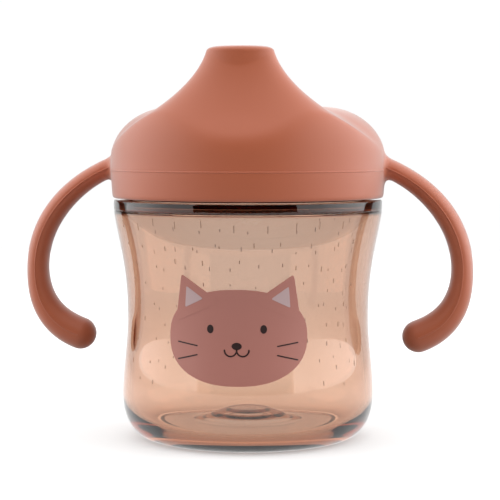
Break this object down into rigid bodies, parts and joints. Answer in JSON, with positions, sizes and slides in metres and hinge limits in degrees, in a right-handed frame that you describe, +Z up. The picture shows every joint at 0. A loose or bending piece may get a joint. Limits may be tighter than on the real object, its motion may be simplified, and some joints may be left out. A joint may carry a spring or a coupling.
{
  "type": "sippy cup",
  "caption": "Child's sippy cup: clear waisted cup, screw-on lid moulded with a flared spout and two open-ended side handles, silicone seal and pull-out silicone valve.",
  "frame": {"origin": "bottom centre of the bounding box, on the cup's axis at the face it stands on", "axes": "+Z up along the cup's axis, +X towards the right-hand handle, -Y towards the drinking spout"},
  "size_m": [0.1326, 0.0808, 0.1141],
  "materials": {
    "clear_plastic": "clear tinted copolyester, glossy, peach-brown",
    "lid_plastic": "opaque terracotta polypropylene, fine matte moulded surface",
    "seal_silicone": "soft matte silicone, off-white",
    "valve_silicone": "soft translucent silicone, milky",
    "print_ink": "thin dusty pink and dark brown ink printed on the clear wall"
  },
  "bodies": {
    "cup": {"cup_body": "clear_plastic"},
    "seal": {"seal_ring": "seal_silicone"},
    "lid": {"lid": "lid_plastic"},
    "valve": {"valve_body": "valve_silicone"},
    "lip_left": {"drink_lip_left": "valve_silicone"},
    "lip_right": {"drink_lip_right": "valve_silicone"},
    "flap": {"vent_flap": "valve_silicone"}
  },
  "joints": [
    {"name": "lid_lift", "type": "slide", "parent": "cup", "child": "seal", "axis": [0, 0, 1], "range_m": [0, 0.0135]},
    {"name": "lid_turn", "type": "hinge", "parent": "seal", "child": "lid", "pos_m": [0, 0, 0.078], "axis": [0, 0, 1], "range_deg": [0, 405]},
    {"name": "valve_pull", "type": "slide", "parent": "lid", "child": "valve", "axis": [0, 0, -1], "range_m": [0, 0.016]},
    {"name": "lip_left_flex", "type": "hinge", "parent": "valve", "child": "lip_left", "pos_m": [-0.004, -0.02, 0.0908], "axis": [0, -1, 0], "range_deg": [0, 25], "stiffness_Nm_per_rad": 0.0002},
    {"name": "lip_right_flex", "type": "hinge", "parent": "valve", "child": "lip_right", "pos_m": [0.004, -0.02, 0.0908], "axis": [0, 1, 0], "range_deg": [0, 25], "stiffness_Nm_per_rad": 0.0002},
    {"name": "vent_flex", "type": "hinge", "parent": "valve", "child": "flap", "pos_m": [0, 0.0118, 0.0884], "axis": [1, 0, 0], "range_deg": [0, 25], "stiffness_Nm_per_rad": 0.0002}
  ],
  "couplings": [
    {"joint": "lid_lift", "follows": "lid_turn", "m_per_rad": 0.0019099}
  ]
}
